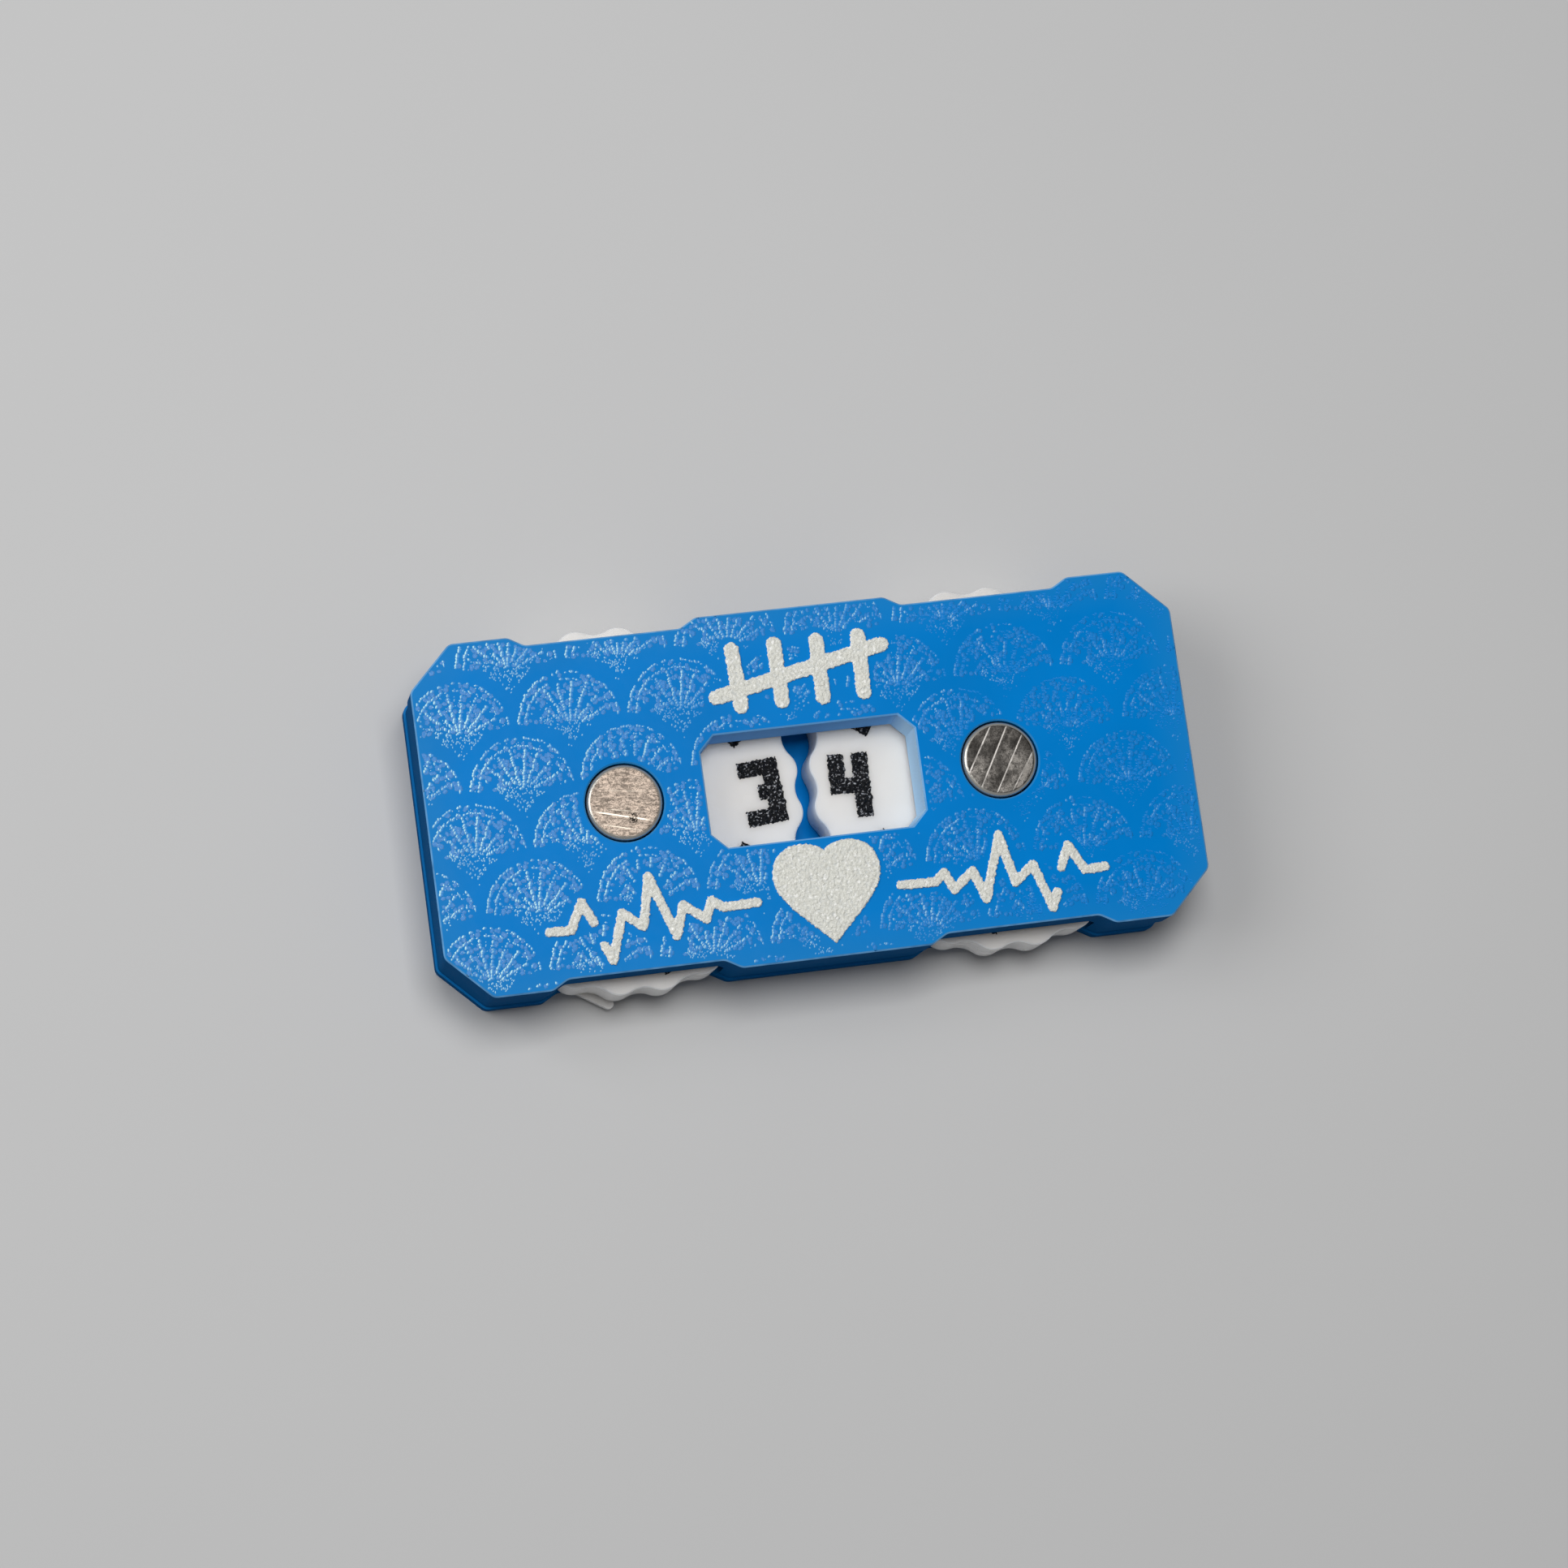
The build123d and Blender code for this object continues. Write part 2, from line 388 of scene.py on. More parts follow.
def case_sheet(colours):
    """Opaque blue sheet: satin faces with a painted paler glow near the outline, polished walls with fine
    cutter lines, walls in the window and the holes painted paler, and a painted highlight on the slanting
    corners.
    """
    finish = Finish("case_sheet")
    wall = finish.cut_wall()
    signed_x, signed_y, _ = finish.split(finish.place)
    x, y = finish.size_of(signed_x), finish.size_of(signed_y)

    corner_line = (HALF_LENGTH + HALF_WIDTH - CORNER_CUT) * MM
    to_corner = finish.times(finish.minus(corner_line, finish.math("ADD", x, y)), cos(radians(45)))
    to_side = finish.math("MINIMUM", finish.minus(HALF_LENGTH * MM, x), finish.minus(HALF_WIDTH * MM, y))
    # Painted glow: the face turns paler towards the outline
    rim_glow_share = finish.span(finish.math("MINIMUM", to_corner, to_side), RIM_REACH * MM, 0.0, 0.0, 0.8)
    face = finish.clouded(finish.noise(120.0, detail=3.0), colours.case_face, 0.94, 1.05)
    face = finish.mix(rim_glow_share, face, colours.case_rim_glow)

    in_window = finish.times(
        finish.math("LESS_THAN", x, (WINDOW_HALF_LENGTH + WALL_REACH) * MM),
        finish.math("LESS_THAN", y, (WINDOW_HALF_HEIGHT + WALL_REACH) * MM),
    )
    from_axle = finish.away(finish.minus(x, AXLE_X * MM), y)
    in_hole = finish.math("LESS_THAN", from_axle, (MAGNET_HOLE_RADIUS + WALL_REACH) * MM)
    # Painted light: the window's walls, palest towards the right end
    at_right = finish.span(
        signed_x, (WINDOW_HALF_LENGTH - GLOW_BEGINS) * MM, (WINDOW_HALF_LENGTH - GLOW_ENDS) * MM
    )
    window_lit_blue = finish.mix(at_right, colours.window_wall_lit, colours.window_glow)
    wall_blue = finish.mix(in_window, colours.case_wall, window_lit_blue)
    # Painted glow on the magnet holes' walls
    wall_blue = finish.mix(in_hole, wall_blue, colours.hole_wall_glow)

    # Painted highlight on the slanting corners, broken by noise and weaker round the magnet holes
    highlit = finish.times(
        finish.cut_corner(),
        finish.span(finish.noise(900.0), 0.25, 0.6, 0.45, 1.0),
        finish.span(in_hole, 0.0, 1.0, 1.0, 0.25),
    )
    haze = finish.noise(1600.0, detail=4.0)
    cutter_lines = finish.noise(1.0, finish.turned(stretch=(7000.0, 7000.0, 350.0)))
    finish.surface(
        Base_Color=finish.mix(highlit, finish.mix(wall, face, wall_blue), colours.corner_highlight),
        Roughness=finish.mix_values(wall, finish.span(haze, *NOISE_RANGE, 0.19, 0.27), 0.75),
        Normal=finish.bump(finish.times(cutter_lines, wall), 0.000012, finish.bump(haze, 0.0000015)),
        Specular_IOR_Level=0.012,
    )
    return finish.material


def wheel_sheet(colours):
    """White sheet: smooth faces, cut walls painted paler for the light in the deep gaps, faint cutter lines,
    and a painted highlight on the slanting corners.
    """
    finish = Finish("wheel_sheet")
    wall = finish.cut_wall()
    tone = finish.noise(260.0, detail=3.0)
    base = finish.clouded(tone, colours.wheel_face, 0.965, 1.01)
    # Painted light: the cut walls are paler than the faces
    walls_painted_pale = finish.mix(wall, base, (0.98, 0.97, 0.95))
    cutter_lines = finish.noise(1.0, finish.turned(stretch=(6000.0, 6000.0, 300.0)))
    skin = finish.bump(finish.noise(1300.0, detail=3.0), 0.000003)
    # The slanting corners are painted white, a painted highlight
    finish.surface(
        Base_Color=finish.mix(finish.cut_corner(), walls_painted_pale, (1.0, 1.0, 1.0)),
        Roughness=finish.span(tone, *NOISE_RANGE, 0.20, 0.30),
        Normal=finish.bump(finish.times(cutter_lines, wall), 0.000010, skin),
        Specular_IOR_Level=0.15,
        Subsurface_Weight=0.9,
        Subsurface_Scale=0.0016,
        Subsurface_Radius=(1.0, 1.0, 1.0),
    )
    return finish.material


# Wear of the magnets, in degrees and millimetres: the grain's turn and its features to the metre along and
# across, each scratch's turn, shift, width, reach and strength, each dark speck's place and radius, and the
# turn, shift and pitch of the bands of painted reflection between scratches
LEFT_WEAR = {
    "streaks": (-4, 1900.0, 7000.0),
    "scratches": [
        (-15, -0.92, 0.065, 2.1, 1.0), (-15, -1.68, 0.05, 1.4, 0.6),
        (-11, -0.55, 0.04, 1.2, 0.45), (-8, 0.75, 0.035, 1.5, 0.3),
    ],
    "specks": [(0.42, -1.20, 0.34), (0.47, -0.86, 0.24)],
    "reflection_bands": None,
    "roughness": 0.48,
}
RIGHT_WEAR_AND_SHEEN = {
    "streaks": (60, 2600.0, 3400.0),
    "scratches": [
        (58, 1.50, 0.062, 2.4, 1.0), (60, 0.44, 0.066, 3.4, 1.0),
        (59, -0.69, 0.060, 3.2, 0.9), (55, -1.70, 0.055, 2.0, 0.7),
    ],
    "specks": [],
    "reflection_bands": (59, 0.44, 1.09),
    "roughness": 0.34,
}
# A speck lies along the left magnet's scratches, squashed across them, with a frayed edge
SPECK_TURN = -15
SPECK_SQUASH = 1.6
SPECK_FRAY = 0.9


def painted_band_sheen(finish, centre, turn, shift, pitch):
    """Painted reflection on a magnet's stepped grooves: darker from one scratch to the next, patchy, and
    darker above.
    """
    across = finish.split(finish.turned(centre, radians(turn)))[1]
    up = finish.split(finish.turned(centre))[1]
    step = finish.math("FRACT", finish.math("DIVIDE", finish.minus(across, shift * MM), pitch * MM))
    return (
        finish.span(step, 0.0, 1.0, 0.45, 1.35),
        finish.span(finish.noise(620.0), 0.40, 0.60, 0.35, 1.3),
        finish.span(up, 0.2 * MM, 2.1 * MM, 1.25, 0.45),
    )


def nickel(name, side, base, streaks, scratches, specks, reflection_bands, roughness):
    """Nickel with a worn grain, a rounded edge painted pale and less metallic for its highlight, straight
    scratches and dark specks.
    """
    finish = Finish(name)
    centre = middle_of(f"{side}_front_magnet")
    centre.z = 0.0
    turn, along, across = streaks
    grain = finish.noise(1.0, finish.turned(centre, radians(turn), (along, across, 2500.0)), 3.0, 0.8)
    curls = finish.noise(4200.0, detail=3.0, distortion=2.6)
    mottle = finish.noise(1500.0, detail=4.0)
    shade = finish.times(
        finish.span(grain, 0.34, 0.60, 0.35, 1.0),
        finish.span(curls, 0.40, 0.54, 0.4, 1.0),
        finish.span(mottle, 0.36, 0.62, 0.5, 1.0),
    )
    # Painted reflection: the stepped grooves between scratches and the upper part are shaded
    if reflection_bands:
        shade = finish.times(shade, *painted_band_sheen(finish, centre, *reflection_bands))
    metal = finish.mix(shade, shaded(base, 0.12), shaded(base, 1.75))
    for turn, shift, width, reach, strength in scratches:
        line = finish.scratch(centre, radians(turn), shift * MM, width * MM, reach * MM)
        broken = finish.span(finish.noise(1100.0), 0.34, 0.54, 0.35 * strength, strength)
        metal = finish.mix(finish.times(line, broken), metal, shaded(base, 2.6, 0.10))
    for right, up, radius in specks:
        middle = centre + Vector((right, up, 0.0)) * MM
        x, y, _ = finish.split(finish.turned(middle, radians(SPECK_TURN), (1.0, SPECK_SQUASH, 1.0)))
        fray = finish.times(finish.minus(curls, 0.5), SPECK_FRAY * MM)
        frayed = finish.math("ADD", finish.away(x, y), fray)
        metal = finish.mix(finish.span(frayed, radius * MM, radius * MM * 0.5), metal, (0.02, 0.018, 0.016))
    # Painted highlight: the rounded edge is paler and less metallic than the face
    rim = finish.span(finish.upright(), 0.985, 0.93)
    worn = finish.span(mottle, *NOISE_RANGE, roughness, roughness + 0.14)
    finish.surface(
        Base_Color=finish.mix(rim, metal, (0.70, 0.68, 0.62)),
        Metallic=finish.mix_values(rim, 1.0, 0.75),
        Roughness=finish.mix_values(rim, worn, 0.26),
        Normal=finish.bump(grain, 0.000008),
    )
    return finish.material


# How the inks look, with sizes in millimetres. Specks is the share of the surface in painted glints, paler
# specks where the grain leans to the light.
BLACK_LOOK = dict(
    pale=(0.60, 0.60, 0.62), dark=(0.002, 0.002, 0.002), roughness=0.10, shine=0.2,
    grain_size=0.12, depth=0.16, speck_size=0.15, specks=0.40, lit_edge=0.0,
)
WHITE_LOOK = dict(
    pale=(1.0, 1.0, 0.97), dark=(0.62, 0.65, 0.65), roughness=0.22, shine=0.5,
    grain_size=0.20, depth=0.12, speck_size=0.30, specks=0.41, lit_edge=0.9,
)


def ink(name, base, pale, dark, roughness, shine, grain_size, depth, speck_size, specks, lit_edge):
    """Raised ink: a fine wet grain with painted glints on specks that lean to the light, painted shade in the
    grain's low spots and a painted paler edge towards the light.
    """
    finish = Finish(name)
    grain = finish.noise(1.0 / (grain_size * MM), detail=3.0, distortion=0.4)
    dots = finish.noise(1.0 / (speck_size * MM), detail=1.0)
    to_light = finish.lean()
    # Painted shade in the grain's low spots
    shaded_hollows = finish.span(grain, 0.30, 0.48, 1.0, 0.0)
    # Painted glints: paler specks, strongest where the surface leans to the light
    ink_glints = finish.times(
        finish.span(dots, 1.0 - specks, 1.0 - specks + 0.06),
        finish.span(to_light, -0.1, 0.3, 0.3, 1.0),
    )
    toned = finish.mix(finish.times(shaded_hollows, 0.6), base, dark)
    # Painted highlight on edges that lean to the light
    toned = finish.mix(finish.span(to_light, 0.22, 0.60, 0.0, lit_edge), toned, pale)
    finish.surface(
        Base_Color=finish.mix(ink_glints, toned, pale),
        Roughness=finish.span(grain, 0.35, 0.65, roughness + 0.14, roughness),
        Normal=finish.bump(grain, depth * MM),
        Specular_IOR_Level=shine,
    )
    return finish.material


# Where along the case the glints grow sparse, and where the sparse ones fade, in millimetres
GLINTS_THIN_OUT = (-22, 12)
GLINTS_FADE = (6, 22)


def clear_ink(colours):
    """Clear raised ink: the sheet's blue painted paler on the left for its sheen, painted pale glints that
    grow fewer towards the right end, flanks away from the light painted paler to undo their shade, and a flat
    film.
    """
    finish = Finish("clear_ink")
    grain = finish.noise(5000.0, detail=3.0, distortion=0.4)
    to_light = finish.lean()
    x = finish.split(finish.place)[0]
    film = finish.span(finish.split(finish.flat_normal)[2], 0.988, 0.998)
    no_film = finish.minus(1.0, film)

    # Share of the painted sheen and glints, strong on the left end
    left = finish.span(x, GLINTS_THIN_OUT[0] * MM, GLINTS_THIN_OUT[1] * MM, 1.0, 0.0)
    strong = finish.span(finish.noise(560.0), 0.36, 0.56, 0.45, 1.0)
    sparse = finish.times(
        finish.span(finish.noise(1300.0, detail=1.0), 0.51, 0.61, 0.0, 0.46),
        finish.span(x, GLINTS_FADE[0] * MM, GLINTS_FADE[1] * MM, 1.0, 0.36),
    )
    lit = finish.times(finish.span(to_light, 0.06, 0.30, 0.10, 1.0), no_film)
    glint = finish.times(lit, finish.mix_values(left, sparse, strong))
    # Painted light: flanks that lean away from the light are painted paler, to undo their shade
    unlit = finish.times(finish.span(to_light, 0.05, -0.45), no_film)

    # Painted sheen: paler blue on the left, the case's blue on the right
    body = finish.mix(left, colours.case_face, colours.clear_ink)
    body = finish.mix(unlit, body, shaded(colours.case_face, 1.4, 0.02))
    body = finish.mix(finish.times(film, 0.72), body, colours.case_face)
    finish.surface(
        Base_Color=finish.mix(glint, body, colours.clear_glint),
        Roughness=finish.span(grain, 0.35, 0.65, 0.34, 0.20),
        Normal=finish.bump(grain, 0.000006, finish.mix(film, finish.normal, finish.flat_normal)),
        Specular_IOR_Level=finish.mix_values(glint, 0.12, 0.8),
    )
    return finish.material


# Modelling helpers

# How deep an ink's foot lies in its sheet, and the fineness of its mesh, in millimetres
INK_DEPTH = 0.10
INK_VOXEL = 0.06


def deselect_everything():
    """Leaves nothing selected, in object mode."""
    if bpy.context.mode != "OBJECT":
        bpy.ops.object.mode_set(mode="OBJECT")
    bpy.ops.object.select_all(action="DESELECT")


def pick(things):
    """Selects these objects alone; the first becomes the active one."""
    deselect_everything()
    for thing in things:
        thing.select_set(True)
    bpy.context.view_layer.objects.active = things[0]


def join(things, name):
    """Makes several objects one."""
    pick(things)
    bpy.ops.object.join()
    made = bpy.context.active_object
    made.name = made.data.name = name
    return made


def copy_at(original, place):
    """A copy with its own mesh, at a place given as a matrix."""
    made = original.copy()
    made.data = original.data.copy()
    bpy.context.scene.collection.objects.link(made)
    made.matrix_world = place
    return made


def apply_place(thing):
    """Brings an object's place, turn and scale into its mesh."""
    pick([thing])
    bpy.ops.object.transform_apply(location=True, rotation=True, scale=True)


def to_metres(thing):
    """Brings a piece modelled in millimetres to its final size and place."""
    apply_place(thing)
    thing.scale = (MM, MM, MM)
    apply_place(thing)


def add_and_apply(thing, kind, **settings):
    """Adds a modifier with its settings and applies it at once."""
    pick([thing])
    bpy.ops.object.modifier_add(type=kind)
    made = thing.modifiers[-1]
    for setting, value in settings.items():
        setattr(made, setting, value)
    bpy.ops.object.modifier_apply(modifier=made.name)


def lay_ink(thing, sizes, rounding=0):
    """Melts a print's strokes together, rounds them and makes the edge ragged and the surface grainy."""
    add_and_apply(thing, "REMESH", mode="VOXEL", voxel_size=INK_VOXEL, use_smooth_shade=True)
    if rounding:
        add_and_apply(thing, "SMOOTH", factor=0.5, iterations=rounding)
    clouds = bpy.data.textures.new(thing.name + "_grain", "CLOUDS")
    clouds.noise_depth = 1
    ragged, grain, rough = sizes.raggedness / MM, sizes.grain / MM, sizes.roughness / MM
    for way, share, strength in (("X", 1.1, ragged), ("Y", 0.9, ragged), ("NORMAL", 1.0, rough)):
        clouds.noise_scale = share * grain
        add_and_apply(
            thing, "DISPLACE",
            texture=clouds, texture_coords="LOCAL", direction=way, strength=strength, mid_level=0.5,
        )
    bpy.data.textures.remove(clouds)
    pick([thing])
    bpy.ops.object.shade_smooth()


def select_where(thing, kind, wanted):
    """In edit mode, selects only the faces or the points that are wanted."""
    bpy.ops.mesh.select_mode(type=kind)
    bpy.ops.mesh.select_all(action="DESELECT")
    mesh = bmesh.from_edit_mesh(thing.data)
    for part in mesh.faces if kind == "FACE" else mesh.verts:
        part.select_set(wanted(part))
    mesh.select_flush_mode()
    bmesh.update_edit_mesh(thing.data)


def turn_normals_out():
    """Turns every face outwards and leaves edit mode."""
    bpy.ops.mesh.select_all(action="SELECT")
    bpy.ops.mesh.normals_make_consistent(inside=False)
    bpy.ops.object.mode_set(mode="OBJECT")


# Digits

DIGIT_ROWS = {
    0: ("111", "101", "101", "101", "111"),
    1: ("011", "001", "001", "001", "001"),
    2: ("111", "001", "111", "100", "111"),
    3: ("111", "001", "011", "001", "111"),
    4: ("101", "101", "111", "001", "001"),
    5: ("111", "100", "111", "001", "111"),
    6: ("111", "100", "111", "101", "111"),
    7: ("111", "001", "001", "001", "001"),
    8: ("111", "101", "111", "101", "111"),
    9: ("111", "101", "111", "001", "111"),
}


def block_digit(number, sizes):
    """One digit in millimetres, lying on the plane z = 0 with its foot just below it."""
    column, middle = sizes.column / MM, sizes.middle_column / MM
    bar, gap = sizes.bar / MM, sizes.gap / MM
    wide, high = 2 * column + middle, 3 * bar + 2 * gap
    deselect_everything()
    bpy.ops.mesh.primitive_grid_add(x_subdivisions=3, y_subdivisions=5, size=1)
    digit = bpy.context.active_object
    digit.name = f"digit_{number}"
    digit.scale = (wide, high, 1)
    apply_place(digit)
    bpy.ops.object.mode_set(mode="EDIT")
    # The even grid's inner lines lie 1/6 of the width and 0.1 and 0.3 of the height from the middle
    select_where(digit, "VERT", lambda p: abs(p.co.x) < wide / 4)
    bpy.ops.transform.resize(value=(3 * middle / wide, 1, 1))
    select_where(digit, "VERT", lambda p: abs(p.co.y) < high * 0.2)
    bpy.ops.transform.resize(value=(1, 5 * bar / high, 1))
    select_where(digit, "VERT", lambda p: high * 0.2 < abs(p.co.y) < high * 0.4)
    bpy.ops.transform.resize(value=(1, (bar / 2 + gap) / (high * 0.3), 1))
    row_edges = [high / 2, high / 2 - bar, bar / 2, -bar / 2, bar - high / 2]

    def is_blank(face):
        x, y, _ = face.calc_center_median()
        row = sum(y < edge for edge in row_edges) - 1
        col = sum(x > edge for edge in (-middle / 2, middle / 2))
        return DIGIT_ROWS[number][row][col] == "0"

    select_where(digit, "FACE", is_blank)
    bpy.ops.mesh.delete(type="FACE")
    bpy.ops.mesh.select_all(action="SELECT")
    bpy.ops.mesh.extrude_region_move(TRANSFORM_OT_translate={"value": (0, 0, INK_DEPTH + sizes.raised / MM)})
    turn_normals_out()
    digit.location.z = -INK_DEPTH
    apply_place(digit)
    lay_ink(digit, sizes)
    return digit


def digit_ring(name, digits, side, shown, place, lean, ring_radius):
    """The ten digits round one wheel, the shown one in the window. Side is -1 (left) or 1 (right)."""
    half_turn = radians(90 + 90 * side)
    ring = []
    for number, digit in digits.items():
        turn = half_turn + place + side * radians(36) * (number - shown)
        at = (
            Matrix.Translation((side * AXLE_X, 0, WHEEL_FACE_HEIGHT))
            @ Matrix.Rotation(turn, 4, "Z")
            @ Matrix.Translation((ring_radius, 0, 0))
            @ Matrix.Rotation(half_turn + lean, 4, "Z")
        )
        ring.append(copy_at(digit, at))
    made = join(ring, name)
    to_metres(made)
    return made


class COUNTER_OT_print_digits(bpy.types.Operator):
    """Prints the black digits 0 to 9 on both wheels"""

    bl_idname = "counter.print_digits"
    bl_label = "Print digits"

    def execute(self, context):
        colours, sizes = context.scene.counter_colours, context.scene.counter_digits
        digits = {number: block_digit(number, sizes) for number in DIGIT_ROWS}
        radius = sizes.ring_radius / MM
        left = digit_ring(
            "tens_digits", digits, -1, sizes.left_shown, sizes.left_place, sizes.left_lean, radius
        )
        right = digit_ring(
            "units_digits", digits, 1, sizes.right_shown, sizes.right_place, sizes.right_lean, radius
        )
        for digit in digits.values():
            bpy.data.objects.remove(digit)
        dress([left, right], ink("black_ink", colours.black_ink, **BLACK_LOOK))
        for piece, body in ((left, "tens_wheel"), (right, "units_wheel")):
            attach(piece, body)
        return {"FINISHED"}


# White print on the face, in millimetres

# The heart's left side, notch, right side and tip as curve points: place, handle behind, handle ahead
HEART = [
    ((-3.6, -6.2), (-3.6, -7.6), (-3.6, -3.68)),
    ((0.0, -4.65), (-0.75, -3.75), (0.75, -3.75)),
    ((3.6, -6.2), (3.6, -3.68), (3.6, -7.6)),
    ((0.0, -10.8), (1.6, -9.2), (-1.6, -9.2)),
]
TRACE_LONG = [
    (4.8, -7.55), (7.1, -7.6), (7.8, -7.05), (8.3, -8.25), (9.7, -7.15), (10.35, -9.1),
    (11.75, -5.0), (12.45, -8.25), (13.75, -7.2), (14.7, -10.2), (15.15, -9.2),
]
TRACE_SHORT = [(15.65, -7.6), (16.3, -6.2), (17.2, -7.95), (18.6, -7.9)]
TALLY_LINES = [
    ((-4.1, 5.45), (-4.25, 9.25)),
    ((-1.35, 5.5), (-1.4, 9.35)),
    ((1.4, 5.45), (1.45, 9.3)),
    ((4.15, 5.5), (4.25, 9.3)),
    ((-5.7, 6.2), (5.75, 8.55)),
]
# Rounds of smoothing on the edges of the white prints
PRINT_ROUNDING = 3


def mirrored(points):
    """The same points on the left half."""
    return [(-x, y) for x, y in points]


def pairs(points):
    """The straight runs between points."""
    return list(zip(points, points[1:]))


def heart_outline(steps):
    """Points round the heart, for keeping the fans clear of it."""
    outline = []
    for (start, _, ahead), (end, behind, _) in pairs(HEART + HEART[:1]):
        curve = interpolate_bezier(Vector(start), Vector(ahead), Vector(behind), Vector(end), steps)
        outline += [(p.x, p.y) for p in curve[:-1]]
    return outline


def straight_bar(start, end, width, height):
    """A bar with round ends in millimetres, its foot below the face."""
    (x0, y0), (x1, y1) = start, end
    turn, run = atan2(y1 - y0, x1 - x0), hypot(x1 - x0, y1 - y0)
    deep = height + INK_DEPTH
    middle_z = FACE_HEIGHT + (height - INK_DEPTH) / 2
    middle = ((x0 + x1) / 2, (y0 + y1) / 2, middle_z)
    bpy.ops.mesh.primitive_cube_add(size=1, location=middle, rotation=(0, 0, turn), scale=(run, width, deep))
    bars = [bpy.context.active_object]
    for x, y in (start, end):
        bpy.ops.mesh.primitive_cylinder_add(
            vertices=20, radius=width / 2, depth=deep, location=(x, y, middle_z)
        )
        bars.append(bpy.context.active_object)
    return bars


def stroke_print(name, runs, width, sizes):
    """A print made of straight strokes, melted together."""
    deselect_everything()
    bars = [bar for start, end in runs for bar in straight_bar(start, end, width, sizes.raised / MM)]
    made = join(bars, name)
    apply_place(made)
    lay_ink(made, sizes, PRINT_ROUNDING)
    to_metres(made)
    return made


def white_ink(colours):
    """The off-white ink, made once."""
    found = bpy.data.materials.get("white_ink")
    return found or ink("white_ink", colours.white_ink, **WHITE_LOOK)


def finish_print(piece, colours):
    """Gives a white print its ink and its body."""
    dress([piece], white_ink(colours))
    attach(piece, "case")


class COUNTER_OT_print_heart(bpy.types.Operator):
    """Prints the heart below the window"""

    bl_idname = "counter.print_heart"
    bl_label = "Print heart"

    def execute(self, context):
        sizes = context.scene.counter_print
        deselect_everything()
        bpy.ops.curve.primitive_bezier_circle_add(radius=1)
        heart = bpy.context.active_object
        heart.name = "heart_print"
        heart.data.dimensions = "2D"
        heart.data.fill_mode = "BOTH"
        heart.data.resolution_u = 24
        heart.data.extrude = (sizes.raised / MM + INK_DEPTH) / 2
        for point, (middle, behind, ahead) in zip(heart.data.splines[0].bezier_points, HEART):
            point.handle_left_type = point.handle_right_type = "FREE"
            point.co = (*middle, 0)
            point.handle_left = (*behind, 0)
            point.handle_right = (*ahead, 0)
        pick([heart])
        bpy.ops.object.convert(target="MESH")
        heart = bpy.context.active_object
        heart.location.z = FACE_HEIGHT + (sizes.raised / MM - INK_DEPTH) / 2
        apply_place(heart)
        bpy.ops.object.mode_set(mode="EDIT")
        bpy.ops.mesh.select_all(action="SELECT")
        bpy.ops.mesh.remove_doubles(threshold=0.001)
        turn_normals_out()
        lay_ink(heart, sizes, PRINT_ROUNDING)
        to_metres(heart)
        finish_print(heart, context.scene.counter_colours)
        return {"FINISHED"}


class COUNTER_OT_print_heartbeat(bpy.types.Operator):
    """Prints the heartbeat trace on each side of the heart"""

    bl_idname = "counter.print_heartbeat"
    bl_label = "Print heartbeat"

    def execute(self, context):
        sizes = context.scene.counter_print
        for name, change in (("left_heartbeat", mirrored), ("right_heartbeat", list)):
            runs = pairs(change(TRACE_LONG)) + pairs(change(TRACE_SHORT))
            piece = stroke_print(name, runs, sizes.trace_width / MM, sizes)
            finish_print(piece, context.scene.counter_colours)
        return {"FINISHED"}


class COUNTER_OT_print_tally(bpy.types.Operator):
    """Prints four tally strokes and the one across them above the window"""

    bl_idname = "counter.print_tally"
    bl_label = "Print tally strokes"

    def execute(self, context):
        sizes = context.scene.counter_print
        piece = stroke_print("tally_print", TALLY_LINES, sizes.tally_width / MM, sizes)
        finish_print(piece, context.scene.counter_colours)
        return {"FINISHED"}


# Clear fans on the face


def distance_to_run(x, y, run):
    """How far a point is from a straight run."""
    start, end = (Vector((*p, 0)) for p in run)
    nearest, share = intersect_point_line((x, y, 0), start, end)
    if share < 0 or share > 1:
        nearest = start if share < 0 else end
    return hypot(nearest.x - x, nearest.y - y)


def is_inside(x, y, outline):
    """Whether a point is inside a closed outline."""
    inside = False
    for (x0, y0), (x1, y1) in zip(outline, outline[1:] + outline[:1]):
        if (y0 > y) != (y1 > y) and x < (x1 - x0) * (y - y0) / (y1 - y0) + x0:
            inside = not inside
    return inside


def edge_height(x):
    """How far from the middle line the case's long edge lies at x, thumb notches included."""
    past_floor = abs(abs(x) - AXLE_X) - NOTCH_FLOOR_HALF
    up_ramp = min(max(past_floor / NOTCH_RAMP_RUN, 0.0), 1.0)
    return HALF_WIDTH - NOTCH_DEPTH * (1.0 - up_ramp)


